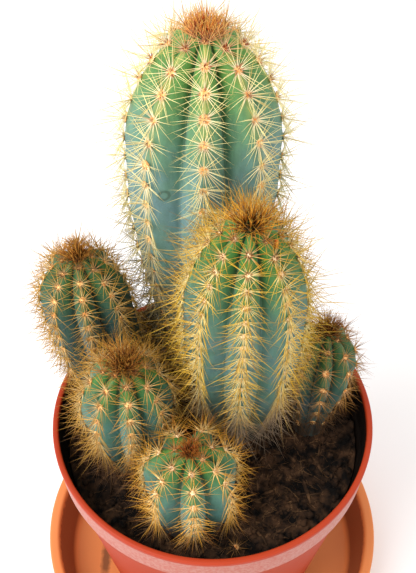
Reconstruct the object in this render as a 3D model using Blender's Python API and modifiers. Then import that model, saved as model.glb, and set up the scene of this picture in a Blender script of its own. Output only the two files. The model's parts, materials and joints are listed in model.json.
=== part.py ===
"""Potted pilosocereus: six ribbed, spiny stems in a plastic pot of peat on a saucer.

Lengths are in metres, +Z is up, and the origin is under the middle of the saucer.
Seen from -Y, the tallest stem stands behind, with five shorter ones round its front.
"""
import math
import random

import bmesh
import bpy
import numpy as np
from mathutils import Vector, noise

OBJECT_NAME = "potted_pilosocereus"
MM = 0.001
GAP = 0.3 * MM            # clearance between solids that touch
MERGE = 0.01 * MM
SEED = 11

# Saucer, turned
TURNED_STEPS = 40
SAUCER_LIP_RADIUS = 71.3 * MM
SAUCER_LIP_WIDTH = 4.0 * MM
SAUCER_HEIGHT = 20.0 * MM
SAUCER_BASE_RADIUS = 62.5 * MM
SAUCER_FLOOR = 2.5 * MM
SAUCER_FLOOR_RADIUS = 60.5 * MM
SAUCER_LIP_THICKNESS = 1.6 * MM

# Pot, turned
POT_BOTTOM = SAUCER_FLOOR + GAP
POT_RIM = 106.0 * MM
POT_RIM_RADIUS = 60.0 * MM
POT_WALL = 1.5 * MM
LIP_HEIGHT = 2.0 * MM
LIP_WIDTH = 2.2 * MM
COLLAR_HEIGHT = 14.0 * MM
COLLAR_STEP = 2.0 * MM
POT_BASE_RADIUS = 43.0 * MM
FOOT_WIDTH = 5.0 * MM
FOOT_HEIGHT = 1.2 * MM
BASE_THICKNESS = 1.6 * MM
DRAIN_RADIUS = 4.0 * MM
DRAIN_RING_RADIUS = 27.0 * MM
DRAIN_COUNT = 4
DRAIN_SIDES = 10

# Peat
SOIL_LEVEL = 92.0 * MM
SOIL_RINGS = 7
SOIL_LUMP = 1.8 * MM
SOIL_LUMP_SIZE = 8.0 * MM
SOIL_EDGE_DROP = 1.6 * MM
SOIL_STEM_DIP = 0.5 * MM
SOIL_STEM_REACH = 8.0 * MM
HOLE_SIDES = 28
HOLE_ABOVE = 10.0 * MM    # how far a hole's cutter stands above the soil

# Stems. base and top are the axis at soil level and at the apex (x, y), bow is the axis's
# sideways bulge halfway up, all in mm. swell is the height over which the stem widens from
# base_radius to radius, and dome the height of the rounded top, with power 2 for an ellipse
# and less for a more pointed one. turn is the angle in degrees of one rib from the front,
# towards +X. first and spacing place the areoles along a rib.
STEMS = {
    "stem_tall": dict(
        base=(-5, 36), top=(-2.5, 43), bow=(0, 0), height=155, radius=25.7, base_radius=15,
        dome=41, power=1.7, swell=100, ribs=8, turn=0, first=10, spacing=9.3, spine=9.0,
        tuft=5.0),
    "stem_middle": dict(
        base=(10, 8.5), top=(10.5, -9), bow=(0, 0), height=126, radius=20, base_radius=12.5,
        dome=46, power=1.8, swell=52, ribs=8, turn=-3.5, first=11, spacing=8.3, spine=10.0,
        tuft=4.6),
    "stem_left": dict(
        base=(-35, 17), top=(-47, 24), bow=(-2.5, 1), height=76, radius=16.0, base_radius=9,
        dome=22, power=2.0, swell=34, ribs=8, turn=9, first=8.5, spacing=7.3, spine=6.5,
        tuft=3.2),
    "stem_left_front": dict(
        base=(-30.5, -8.5), top=(-30, -11), bow=(0, 0), height=60, radius=16.2, base_radius=9.5,
        dome=24, power=2.1, swell=34, ribs=8, turn=9, first=8, spacing=7.5, spine=6.5,
        tuft=3.0),
    "stem_front": dict(
        base=(-7.7, -31.5), top=(-7.7, -36), bow=(0, 0), height=47, radius=16.0, base_radius=13,
        dome=19, power=2.0, swell=16, ribs=7, turn=4.5, first=7.5, spacing=7.2, spine=6.5,
        tuft=2.6),
    "stem_right": dict(
        base=(37, 5), top=(41.5, 14), bow=(0.5, 0), height=47.5, radius=12.4, base_radius=6,
        dome=18, power=2.1, swell=32, ribs=8, turn=-2, first=7, spacing=7.8, spine=6.0,
        tuft=2.6),
}
COLUMNS_PER_RIB = 4       # crest, flank, valley, flank
FINE_STEPS = 1500         # steps in which a crest line is measured
CAP_ROW = 0.5             # where the row above the first areoles lies, as a share of first
FOOT_ROW = 1.0 * MM       # height of the lowest row above the soil
BURIED = 12.0 * MM        # how deep a stem's foot goes into its hole
VALLEY_TOP = 0.55         # radius of a valley as a share of the crest's, near the apex
VALLEY_LOW = 0.76         # the same, lower down
RIB_POWER_TOP = 2.1       # 1 gives a rib flat flanks, more gives it rounder ones
RIB_POWER_LOW = 1.35      # the same, lower down
RIBS_SETTLE = 70 * MM     # distance below the apex over which both get there
RIBS_FADE = (-2 * MM, 9 * MM)
LOWEST_AREOLE = 5 * MM
AREOLE_SIZE = 0.9 * MM
AREOLE_HEIGHT = 0.6 * MM
SPINE_TILTS = (50, 70)    # degrees from straight out, for upper and lower spines
SPINE_CLEARANCE = 1.1 * MM
BODY_CLEARANCE = 1.0 * MM
TRIES = 60                # how often a spine is drawn again until it is clear
TURN_PLAY, TURN_BEND = 0.2, 0.6     # radians round the areole: at first, and added by the end
LEAN_PLAY, LEAN_BEND = 6, 30        # the same in degrees, away from straight out
SHORTENING = 0.4          # share of its length that a spine may lose by the end
TUFT_FLATNESS = 0.75
TUFT_LOWEST_NORMAL = 0.25
TUFT_UPRIGHT = 0.5
TUFT_LENGTH = (0.62, 0.78)          # of the spine length

COLOURS = {
    "saucer": (0.60, 0.19, 0.06), "pot": (0.52, 0.07, 0.025), "soil": (0.018, 0.011, 0.007),
    "stem_tall": (0.11, 0.33, 0.27), "stem_middle": (0.07, 0.26, 0.18),
    "stem_left": (0.05, 0.17, 0.12), "stem_left_front": (0.06, 0.20, 0.16),
    "stem_front": (0.07, 0.24, 0.17), "stem_right": (0.07, 0.20, 0.14),
}
ROUGHNESS = {"saucer": 0.45, "pot": 0.3, "soil": 1.0}
LEAFY_ROUGHNESS = 0.6


def clear_scene():
    for obj in list(bpy.data.objects):
        bpy.data.objects.remove(obj, do_unlink=True)


def new_collection(name, parent=None):
    collection = bpy.data.collections.new(name)
    (parent or bpy.context.scene.collection).children.link(collection)
    return collection


def make_material(name):
    material = bpy.data.materials.new(name)
    material.use_nodes = True
    shader = material.node_tree.nodes["Principled BSDF"]
    shader.inputs["Base Color"].default_value = (*COLOURS[name], 1.0)
    shader.inputs["Roughness"].default_value = ROUGHNESS.get(name, LEAFY_ROUGHNESS)
    shader.inputs["Metallic"].default_value = 0.0
    return material


def add_object(name, mesh, collection):
    obj = bpy.data.objects.new(name, mesh)
    collection.objects.link(obj)
    return obj


def finish(obj, sharp_degrees=35):
    """Give a part its material and smooth shading with sharp edges."""
    obj.data.materials.clear()
    obj.data.materials.append(make_material(obj.name))
    obj.data.shade_smooth()
    obj.data.set_sharp_from_angle(angle=math.radians(sharp_degrees))


def profile_mesh(name, points):
    """An open chain of edges through (radius, height) points, in the XZ plane."""
    mesh = bpy.data.meshes.new(name)
    verts = [(radius, 0.0, height) for radius, height in points]
    mesh.from_pydata(verts, [(i, i + 1) for i in range(len(verts) - 1)], [])
    return mesh


def turned(name, points, collection, steps=TURNED_STEPS):
    """A solid of revolution: a profile that starts and ends on the axis, with a Screw."""
    obj = add_object(name, profile_mesh(name, points), collection)
    screw = obj.modifiers.new("Turn", "SCREW")
    screw.axis = "Z"
    screw.steps = screw.render_steps = steps
    screw.use_merge_vertices = True
    screw.merge_threshold = MERGE
    return obj


def bake(obj):
    """Replace an object's mesh with its evaluated one, so that its vertices can be moved."""
    bpy.context.view_layer.update()
    evaluated = obj.evaluated_get(bpy.context.evaluated_depsgraph_get())
    mesh = bpy.data.meshes.new_from_object(evaluated)
    obj.modifiers.clear()
    old = obj.data
    obj.data = mesh
    bpy.data.meshes.remove(old)
    mesh.name = obj.name
    return mesh


def smooth_step(x):
    x = np.clip(x, 0.0, 1.0)
    return x * x * (3.0 - 2.0 * x)


class Stem:
    """The form of one stem: a bowed axis, a crest radius for each height, and its ribs."""

    def __init__(self, name, sizes):
        self.name = name
        self.ribs = sizes["ribs"]
        self.power = sizes["power"]
        self.turn = math.radians(sizes["turn"])
        for key in ("height", "radius", "base_radius", "dome", "swell", "first", "spacing",
                    "spine", "tuft"):
            setattr(self, key, sizes[key] * MM)
        self.base = np.array(sizes["base"]) * MM
        top = np.array(sizes["top"]) * MM
        bow = np.array(sizes["bow"]) * MM
        self.slope = (top - self.base + 4 * bow) / self.height
        self.curve = -4 * bow / self.height ** 2
        self.fine = self.height * np.linspace(1, 0, FINE_STEPS) ** (1 / self.power)
        rise = np.diff(self.fine), np.diff(self.crest(self.fine))
        self.along = np.concatenate([[0.0], np.cumsum(np.hypot(*rise))])

    def axis(self, s):
        """The axis at height s above the soil; below it the axis runs on straight."""
        above = np.maximum(s, 0.0)
        xy = [self.base[i] + self.slope[i] * s + self.curve[i] * above ** 2 for i in (0, 1)]
        return np.stack([xy[0], xy[1], SOIL_LEVEL + s], axis=-1)

    def crest(self, s):
        """The radius of a rib's crest at height s."""
        wide = smooth_step(s / self.swell)
        radius = self.base_radius + (self.radius - self.base_radius) * wide
        rise = np.clip((s - (self.height - self.dome)) / self.dome, 0.0, 1.0)
        return radius * np.sqrt(np.clip(1.0 - rise ** self.power, 0.0, 1.0))

    def section(self, s, angle):
        """The surface's radius at height s, angle measured from the front towards +X."""
        pitch = 2 * math.pi / self.ribs
        across = np.abs((angle - self.turn + pitch / 2) % pitch - pitch / 2) / (pitch / 2)
        settled = smooth_step((self.height - s) / RIBS_SETTLE)
        valley = VALLEY_TOP + (VALLEY_LOW - VALLEY_TOP) * settled
        rib_power = RIB_POWER_TOP + (RIB_POWER_LOW - RIB_POWER_TOP) * settled
        low, high = RIBS_FADE
        valley = 1.0 - (1.0 - valley) * smooth_step((s - low) / (high - low))
        return self.crest(s) * (valley + (1.0 - valley) * (1.0 - across ** rib_power))

    def point(self, s, angle, radius):
        out = np.stack([np.sin(angle) * radius, -np.cos(angle) * radius, 0 * radius], axis=-1)
        return self.axis(s) + out

    def outside(self, points):
        """How far points lie outside the stem's surface, measured level, in metres."""
        s = points[:, 2] - SOIL_LEVEL
        offset = points - self.axis(s)
        distance = np.hypot(offset[:, 0], offset[:, 1])
        angle = np.arctan2(offset[:, 0], -offset[:, 1])
        clear = distance - self.section(np.clip(s, -BURIED, self.height), angle)
        return np.where((s > self.height + SPINE_CLEARANCE) | (s < -BURIED), 1.0, clear)

    def height_at(self, arc):
        """The height of the point this far from the apex, measured along a crest."""
        return float(np.interp(arc, self.along, self.fine))

    def areole_arcs(self):
        """Distances of the rows of areoles from the apex, measured along a crest."""
        length = float(np.interp(-LOWEST_AREOLE, -self.fine, self.along))
        count = int((length - self.first) / self.spacing) + 1
        return [self.first + k * self.spacing for k in range(count)]


def stem_body(stem, collection):
    """Turn a stem's crest line, then flute it into ribs and set it on its axis.

    Neighbouring ribs carry their areoles half a spacing apart, so the rows of vertices
    are shifted up on one rib and down on the next. Returns the object and its areoles.
    """
    arcs = stem.areole_arcs()
    rows = [stem.height_at(arc) for arc in arcs]
    heights = [stem.height_at(stem.first * CAP_ROW)] + rows + [FOOT_ROW, -BURIED]
    points = [(float(stem.crest(s)), s) for s in heights]
    points = [(0.0, stem.height)] + points + [(0.0, -BURIED)]
    columns = stem.ribs * COLUMNS_PER_RIB
    obj = turned(stem.name, points, collection, columns)
    mesh = bake(obj)

    areoles = []
    for vertex in mesh.vertices:
        x, y, s = vertex.co
        if math.hypot(x, y) < MERGE:
            vertex.co = Vector(stem.axis(s))
            continue
        column = round(math.atan2(y, x) / (2 * math.pi) * columns) % columns
        rib, part = divmod(column, COLUMNS_PER_RIB)
        half = COLUMNS_PER_RIB / 2
        from_crest = min(part, COLUMNS_PER_RIB - part) / half
        nearest_rib = (rib if part <= half else rib + 1) % stem.ribs
        up_or_down = 1 if nearest_rib % 2 == 0 else -1
        row = min(range(len(rows)), key=lambda k: abs(rows[k] - s))
        has_areole = abs(rows[row] - s) < MERGE
        if has_areole:
            shift = up_or_down * (1.0 - from_crest) * stem.spacing / 4
            s = stem.height_at(arcs[row] + shift)
        angle = stem.turn + 2 * math.pi * column / columns
        vertex.co = Vector(stem.point(s, angle, stem.section(s, angle)))
        if has_areole and part == 0:
            areoles.append((vertex.index, s, angle))
    return obj, areoles


def areole_frame(stem, s, angle):
    """An areole's place, with the directions out, up the rib and across it."""
    step = 0.5 * MM
    heights = np.array([s - step, s, s + step])
    line = stem.point(heights, np.full(3, angle), stem.crest(heights))
    up = Vector(line[2] - line[0]).normalized()
    across = Vector((math.cos(angle), math.sin(angle), 0.0))
    out = across.cross(up).normalized()
    return Vector(line[1]), out, up, across


def segment_gaps(root, tip, roots, tips):
    """Shortest distances from one segment to many others."""
    steps = np.linspace(0.0, 1.0, 9)[:, None]
    own = root + (tip - root) * steps
    along = tips - roots
    length = np.maximum((along ** 2).sum(1), 1e-12)
    share = ((own[:, None, :] - roots) * along).sum(2) / length
    nearest = roots + along * np.clip(share, 0, 1)[:, :, None]
    return np.sqrt(((own[:, None, :] - nearest) ** 2).sum(2)).min(0)


class Spines:
    """Every spine placed so far, so that the next one keeps clear of it."""

    def __init__(self, stems):
        self.stems = stems
        self.roots = np.zeros((0, 3))
        self.tips = np.zeros((0, 3))
        self.groups = np.zeros(0, dtype=int)

    def is_clear(self, root, tip, group):
        """True if a spine from root to tip misses the peat, the pot, stems and spines."""
        path = root + (tip - root) * np.array([0.35, 0.6, 0.8, 1.0])[:, None]
        if (path[:, 2] < SOIL_LEVEL + SOIL_LUMP + BODY_CLEARANCE).any():
            return False
        reach = np.hypot(path[:, 0], path[:, 1])
        by_rim = path[:, 2] < POT_RIM + BODY_CLEARANCE
        if (by_rim & (reach > POT_RIM_RADIUS - LIP_WIDTH - BODY_CLEARANCE)).any():
            return False
        for stem in self.stems:
            if (stem.outside(path) < BODY_CLEARANCE).any():
                return False
        others = self.groups != group
        if not others.any():
            return True
        gaps = segment_gaps(root, tip, self.roots[others], self.tips[others])
        return bool(gaps.min() > SPINE_CLEARANCE)

    def add(self, root, tip, group):
        self.roots = np.vstack([self.roots, root])
        self.tips = np.vstack([self.tips, tip])
        self.groups = np.append(self.groups, group)


def tuft(stem, spines, group, rng, collection):
    """The bunch of young spines on the apex: a low core whose faces are drawn to points."""
    mesh = bpy.data.meshes.new(stem.name + "_tuft")
    bm = bmesh.new()
    bmesh.ops.create_icosphere(bm, subdivisions=2, radius=stem.tuft)
    centre = Vector(stem.axis(stem.height))
    for vertex in bm.verts:
        vertex.co.z *= TUFT_FLATNESS
        vertex.co += centre
    bm.normal_update()
    upper = [face for face in bm.faces if face.normal.z > TUFT_LOWEST_NORMAL]
    poked = bmesh.ops.poke(bm, faces=upper)
    for vertex in poked["verts"]:
        out = (vertex.co - centre).normalized()
        direction = (out + Vector((0, 0, TUFT_UPRIGHT))).normalized()
        length = stem.spine * rng.uniform(*TUFT_LENGTH)
        tip = vertex.co + direction * length
        spines.add(np.array(vertex.co), np.array(tip), group)
        vertex.co = tip
    bmesh.ops.triangulate(bm, faces=bm.faces)
    bm.to_mesh(mesh)
    bm.free()
    return add_object(stem.name + "_tuft", mesh, collection)


def nearest(places, point):
    return int(((places - np.array(point)) ** 2).sum(1).argmin())


def choose_tip(stem, root, frame, spines, group, rng):
    """A spine's tip: near the ideal direction, or bent further until it is clear.

    The spine leaves its areole's middle on the side that its root lies on. Upper spines
    stand out more and lower ones hang more, so that neighbours pass without touching.
    """
    place, out, up, across = frame
    side = Vector(root) - place
    bearing = math.atan2(side.dot(across), side.dot(up))
    tilt = SPINE_TILTS[0] if abs(bearing) < math.pi / 2 else SPINE_TILTS[1]
    for attempt in range(TRIES):
        effort = attempt / TRIES
        turn = bearing + rng.uniform(-1, 1) * (TURN_PLAY + TURN_BEND * effort)
        lean = math.radians(tilt + rng.uniform(-1, 1) * (LEAN_PLAY + LEAN_BEND * effort))
        length = stem.spine * rng.uniform(0.85, 1.1) * (1 - SHORTENING * effort)
        flat = up * math.cos(turn) + across * math.sin(turn)
        tip = root + np.array(out * math.cos(lean) + flat * math.sin(lean)) * length
        if spines.is_clear(root, tip, group):
            return tip
    return root + np.array(out) * AREOLE_HEIGHT


def raise_spines(stem, obj, areoles, spines, first_group, rng):
    """Cut each areole into the crest as a small pad of four faces, drawn out to spines."""
    bm = bmesh.new()
    bm.from_mesh(obj.data)
    bm.verts.ensure_lookup_table()
    frames = [areole_frame(stem, s, angle) for _, s, angle in areoles]
    places = np.array([frame[0] for frame in frames])
    marked = [bm.verts[index] for index, _, _ in areoles]
    pads = bmesh.ops.bevel(bm, geom=marked, offset=AREOLE_SIZE, offset_type="OFFSET",
                           segments=1, profile=0.5, affect="VERTICES")["faces"]
    hubs = bmesh.ops.poke(bm, faces=pads)["verts"]
    faces = []
    for hub in hubs:
        place, out, _, _ = frames[nearest(places, hub.co)]
        hub.co = place + out * AREOLE_HEIGHT
        faces += hub.link_faces
    for vertex in bmesh.ops.poke(bm, faces=faces)["verts"]:
        index = nearest(places, vertex.co)
        group = first_group + index
        root = np.array(vertex.co)
        tip = choose_tip(stem, root, frames[index], spines, group, rng)
        spines.add(root, tip, group)
        vertex.co = Vector(tip)
    bmesh.ops.triangulate(bm, faces=bm.faces)
    bm.normal_update()
    bm.to_mesh(obj.data)
    bm.free()
    print(f"{stem.name}: {len(areoles)} areoles on {stem.ribs} ribs")


def make_stems(collection, cutters):
    """All stems: bodies and tufts first, then the spines, each clear of what is there."""
    rng = random.Random(SEED)
    stems = [Stem(name, sizes) for name, sizes in STEMS.items()]
    spines = Spines(stems)
    tufts = {}
    for number, stem in enumerate(stems):
        tufts[stem.name] = tuft(stem, spines, -1 - number, rng, cutters)
    group = 0
    for stem in stems:
        obj, areoles = stem_body(stem, collection)
        raise_spines(stem, obj, areoles, spines, group, rng)
        group += len(areoles)
        union = obj.modifiers.new("Tuft", "BOOLEAN")
        union.operation = "UNION"
        union.solver = "EXACT"
        union.object = tufts[stem.name]
        bake(obj)
        bpy.data.objects.remove(tufts[stem.name], do_unlink=True)
        finish(obj, 60)
    return stems


def make_saucer(collection):
    """A shallow dish with a flat rolled lip; its underside is one flat disc."""
    inner_lip = SAUCER_LIP_RADIUS - SAUCER_LIP_WIDTH
    wall = 2.0 * MM
    points = [
        (0, SAUCER_FLOOR),
        (SAUCER_FLOOR_RADIUS, SAUCER_FLOOR),
        (SAUCER_FLOOR_RADIUS + wall, SAUCER_FLOOR + wall),
        (inner_lip, SAUCER_HEIGHT),
        (SAUCER_LIP_RADIUS - 0.8 * MM, SAUCER_HEIGHT),
        (SAUCER_LIP_RADIUS, SAUCER_HEIGHT - 0.8 * MM),
        (SAUCER_LIP_RADIUS, SAUCER_HEIGHT - SAUCER_LIP_THICKNESS - 0.8 * MM),
        (inner_lip + wall, SAUCER_HEIGHT - SAUCER_LIP_THICKNESS - 1.2 * MM),
        (SAUCER_BASE_RADIUS, 0),
        (0, 0),
    ]
    finish(turned("saucer", points, collection))


def make_pot(collection, cutters):
    """A tapered pot with a plain collar, a small lip, a foot ring and drain holes."""
    rim_in = POT_RIM_RADIUS - LIP_WIDTH
    collar_low = POT_RIM - COLLAR_HEIGHT
    collar_out = POT_RIM_RADIUS - 0.6 * MM
    body_top = collar_out - COLLAR_STEP
    raised = POT_BOTTOM + FOOT_HEIGHT
    floor = raised + BASE_THICKNESS
    edge = 0.4 * MM
    points = [
        (0, floor),
        (POT_BASE_RADIUS - POT_WALL - edge, floor),
        (body_top - POT_WALL, collar_low - POT_WALL),
        (rim_in - edge, collar_low + edge),
        (rim_in, POT_RIM),
        (POT_RIM_RADIUS - edge, POT_RIM),
        (POT_RIM_RADIUS, POT_RIM - edge),
        (POT_RIM_RADIUS, POT_RIM - LIP_HEIGHT),
        (collar_out, POT_RIM - LIP_HEIGHT - edge),
        (collar_out - edge, collar_low),
        (body_top, collar_low - edge),
        (POT_BASE_RADIUS, POT_BOTTOM),
        (POT_BASE_RADIUS - FOOT_WIDTH, POT_BOTTOM),
        (POT_BASE_RADIUS - FOOT_WIDTH, raised),
        (0, raised),
    ]
    pot = turned("pot", points, collection)
    holes = new_collection("drain_holes", cutters)
    turns = [2 * math.pi * (k + 0.5) / DRAIN_COUNT for k in range(DRAIN_COUNT)]
    centres = [(0.0, 0.0)] + [
        (DRAIN_RING_RADIUS * math.cos(a), DRAIN_RING_RADIUS * math.sin(a)) for a in turns]
    for number, (x, y) in enumerate(centres):
        add_cutter(f"drain_hole_{number}", DRAIN_RADIUS, 6 * BASE_THICKNESS, DRAIN_SIDES,
                   Vector((x, y, raised)), Vector((0, 0, 1)), holes)
    cut = pot.modifiers.new("Drain holes", "BOOLEAN")
    cut.operation = "DIFFERENCE"
    cut.operand_type = "COLLECTION"
    cut.collection = holes
    finish(pot)
    return floor, body_top - POT_WALL


def add_cutter(name, radius, length, sides, centre, direction, collection):
    mesh = bpy.data.meshes.new(name)
    bm = bmesh.new()
    bmesh.ops.create_cone(bm, cap_ends=True, segments=sides, radius1=radius, radius2=radius,
                          depth=length)
    bm.to_mesh(mesh)
    bm.free()
    cutter = add_object(name, mesh, collection)
    cutter.location = centre
    cutter.rotation_mode = "QUATERNION"
    cutter.rotation_quaternion = direction.to_track_quat("Z", "X")
    cutter.hide_render = True
    cutter.display_type = "WIRE"
    return cutter


def make_soil(stems, pot_floor, pot_inner_top, collection, cutters):
    """The peat: it fills the pot, its top is lumpy, and each stem stands in a round hole."""
    corner = 0.4 * MM
    low_radius = POT_BASE_RADIUS - POT_WALL - 2 * GAP - corner
    top_radius = pot_inner_top - GAP - corner
    edge_height = POT_RIM - COLLAR_HEIGHT - POT_WALL - GAP
    rings = [top_radius * k / SOIL_RINGS for k in range(SOIL_RINGS)]
    points = [(radius, SOIL_LEVEL) for radius in rings]
    points += [(top_radius, edge_height), (low_radius, pot_floor + GAP), (0, pot_floor + GAP)]
    soil = turned("soil", points, collection)
    for vertex in bake(soil).vertices:
        x, y, z = vertex.co
        if z < SOIL_LEVEL - MERGE:
            continue
        reach = math.hypot(x, y) / top_radius
        away = min(math.hypot(x - s.base[0], y - s.base[1]) - s.base_radius for s in stems)
        open_ground = float(smooth_step(away / SOIL_STEM_REACH))
        place = Vector((x, y, 0.0)) / SOIL_LUMP_SIZE
        lump = (noise.noise(place) + 0.5 * noise.noise(place * 2.5)) * SOIL_LUMP
        vertex.co.z += lump * open_ground - SOIL_STEM_DIP * (1 - open_ground)
        vertex.co.z -= SOIL_EDGE_DROP * float(smooth_step((reach - 0.6) / 0.4))
    holes = new_collection("stem_holes", cutters)
    for stem in stems:
        axis = Vector((*stem.slope, 1.0)).normalized()
        room = axis.xy.length * stem.base_radius
        foot = Vector(stem.axis(-BURIED)) - axis * GAP - Vector((0, 0, room))
        head = Vector(stem.axis(HOLE_ABOVE))
        radius = stem.base_radius / axis.z + GAP
        add_cutter(stem.name + "_hole", radius, (head - foot).length, HOLE_SIDES,
                   (head + foot) / 2, axis, holes)
    cut = soil.modifiers.new("Stem holes", "BOOLEAN")
    cut.operation = "DIFFERENCE"
    cut.operand_type = "COLLECTION"
    cut.collection = holes
    finish(soil, 60)


def main():
    clear_scene()
    parts = new_collection(OBJECT_NAME)
    cutters = new_collection("cutters")
    make_saucer(parts)
    pot_floor, pot_inner_top = make_pot(parts, cutters)
    stems = make_stems(parts, cutters)
    make_soil(stems, pot_floor, pot_inner_top, parts, cutters)
    graph = bpy.context.evaluated_depsgraph_get()
    for obj in parts.objects:
        mesh = obj.evaluated_get(graph).to_mesh()
        mesh.calc_loop_triangles()
        print(f"{obj.name}: {len(mesh.loop_triangles)} triangles")


main()
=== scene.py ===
# %% [markdown]
# # A potted pilosocereus, up close
# Six blue-green cactus stems stand in a red plastic pot of dark peat, on an orange saucer.
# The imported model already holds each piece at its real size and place. This lesson dresses
# it: fine ribbed skins, felt cushions, thousands of thin spines, loose peat and moulded
# plastic. All lengths are metres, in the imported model's own frame.

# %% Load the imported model
import json
import math
from functools import partial
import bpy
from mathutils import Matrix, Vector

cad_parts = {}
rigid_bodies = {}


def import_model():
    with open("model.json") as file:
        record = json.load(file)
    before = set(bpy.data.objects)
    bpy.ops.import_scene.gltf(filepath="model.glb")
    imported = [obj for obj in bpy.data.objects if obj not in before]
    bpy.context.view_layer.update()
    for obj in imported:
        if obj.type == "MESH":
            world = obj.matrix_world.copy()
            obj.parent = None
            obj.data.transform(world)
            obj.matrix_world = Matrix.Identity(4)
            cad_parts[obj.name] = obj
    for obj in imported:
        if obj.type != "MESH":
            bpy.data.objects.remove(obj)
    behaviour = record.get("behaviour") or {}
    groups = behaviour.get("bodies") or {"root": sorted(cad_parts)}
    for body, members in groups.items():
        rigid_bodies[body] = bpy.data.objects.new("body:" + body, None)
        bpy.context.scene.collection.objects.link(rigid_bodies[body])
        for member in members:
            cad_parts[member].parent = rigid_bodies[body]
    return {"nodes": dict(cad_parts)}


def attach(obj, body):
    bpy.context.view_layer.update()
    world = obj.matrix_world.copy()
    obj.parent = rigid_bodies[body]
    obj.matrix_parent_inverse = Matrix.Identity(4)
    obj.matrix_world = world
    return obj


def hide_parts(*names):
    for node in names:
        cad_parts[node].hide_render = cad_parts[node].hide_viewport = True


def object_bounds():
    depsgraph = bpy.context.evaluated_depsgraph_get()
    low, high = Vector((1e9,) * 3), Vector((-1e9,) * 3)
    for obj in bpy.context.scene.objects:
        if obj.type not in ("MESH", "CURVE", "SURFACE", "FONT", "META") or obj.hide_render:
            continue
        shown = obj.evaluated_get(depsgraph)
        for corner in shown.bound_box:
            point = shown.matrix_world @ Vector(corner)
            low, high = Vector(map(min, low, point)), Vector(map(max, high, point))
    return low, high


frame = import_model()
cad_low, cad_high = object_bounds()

from types import SimpleNamespace

import bmesh
import bpy
import numpy as np
from mathutils import Vector, noise

MM = 0.001
print("CAD box in mm:", [round(side / MM, 1) for side in cad_high - cad_low])

# %% [markdown]
# ## Small tools
# Colours are easier to choose as sRGB hex codes, as they are in a paint program, but shaders
# work in linear light. One function turns the one into the other. The rest are the few steps
# that every piece takes: a new object, a mesh from a bmesh, a mesh with its modifiers applied.

# %% Colours, objects and meshes
def linear(hex_code):
    """An sRGB hex colour as linear RGBA."""
    channels = [int(hex_code[i:i + 2], 16) / 255 for i in (1, 3, 5)]
    return tuple(c / 12.92 if c <= 0.04045 else ((c + 0.055) / 1.055) ** 2.4
                 for c in channels) + (1.0,)


def add_object(name, data):
    obj = bpy.data.objects.new(name, data)
    bpy.context.scene.collection.objects.link(obj)
    return obj


def mesh_from(bm, name):
    mesh = bpy.data.meshes.new(name)
    bm.to_mesh(mesh)
    bm.free()
    return mesh


def applied(obj, **settings):
    """The plain mesh that an object's modifiers, or a curve's bevel, result in."""
    graph = bpy.context.evaluated_depsgraph_get()
    return bpy.data.meshes.new_from_object(obj.evaluated_get(graph), depsgraph=graph,
                                           **settings)


def triangles(*objects):
    for obj in objects:
        obj.data.calc_loop_triangles()
    return sum(len(obj.data.loop_triangles) for obj in objects)


print("a mid grey in linear light:", round(linear("#808080")[0], 3))

# %% [markdown]
# ## Nodes by plain words
# Node trees could be built by hand in the editor. Here one function adds a node, sets it and
# links it, so a whole tree reads from top to bottom like a recipe. A table says which node a
# plain word stands for, and how it is set. A word in capitals is an operation of the Math
# node, and a node without a word of its own goes by Blender's own name.

# %% Plain words and the function that adds a node
NODES = {
    "object place": ("ShaderNodeTexCoord", {"output": "Object"}),
    "object facing": ("ShaderNodeTexCoord", {"output": "Normal"}),
    "attribute": ("ShaderNodeAttribute", {"output": "Fac"}),
    "noise": ("ShaderNodeTexNoise", {}),
    "ramp": ("ShaderNodeMapRange", {}),
    "ease": ("ShaderNodeMapRange", {"interpolation_type": "SMOOTHSTEP"}),
    "mix": ("ShaderNodeMix", {"data_type": "RGBA"}),
    "tint": ("ShaderNodeMix", {"data_type": "RGBA", "blend_type": "MULTIPLY"}),
    "bump": ("ShaderNodeBump", {}),
    "split": ("ShaderNodeSeparateXYZ", {}),
    "join": ("ShaderNodeCombineXYZ", {}),
    "vector sum": ("ShaderNodeVectorMath", {"operation": "ADD"}),
    "vector difference": ("ShaderNodeVectorMath", {"operation": "SUBTRACT"}),
    "vector product": ("ShaderNodeVectorMath", {"operation": "MULTIPLY"}),
    "scaled": ("ShaderNodeVectorMath", {"operation": "SCALE"}),
    "cross product": ("ShaderNodeVectorMath", {"operation": "CROSS_PRODUCT"}),
    "dot product": ("ShaderNodeVectorMath", {"operation": "DOT_PRODUCT"}),
    "distance": ("ShaderNodeVectorMath", {"operation": "DISTANCE"}),
    "length": ("ShaderNodeVectorMath", {"operation": "LENGTH"}),
    "unit vector": ("ShaderNodeVectorMath", {"operation": "NORMALIZE"}),
    "position": ("GeometryNodeInputPosition", {}),
    "normal": ("GeometryNodeInputNormal", {}),
    "named number": ("GeometryNodeInputNamedAttribute", {"data_type": "FLOAT"}),
    "named vector": ("GeometryNodeInputNamedAttribute", {"data_type": "FLOAT_VECTOR"}),
    "sampled number": ("GeometryNodeSampleIndex", {"data_type": "FLOAT"}),
    "sampled vector": ("GeometryNodeSampleIndex", {"data_type": "FLOAT_VECTOR"}),
    "random": ("FunctionNodeRandomValue", {}),
    "aimed": ("FunctionNodeAlignRotationToVector", {"axis": "Z"}),
    "store": ("GeometryNodeStoreNamedAttribute", {"domain": "POINT"}),
    "set position": ("GeometryNodeSetPosition", {}),
    "instances": ("GeometryNodeInstanceOnPoints", {}),
    "realize": ("GeometryNodeRealizeInstances", {}),
}


def feed(socket, value):
    """Give an input a link, a colour by its hex code, or a plain value."""
    if isinstance(value, bpy.types.NodeSocket):
        socket.id_data.links.new(value, socket)
    elif value is not None:
        is_colour = isinstance(value, str) and value.startswith("#")
        socket.default_value = linear(value) if is_colour else value


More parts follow.
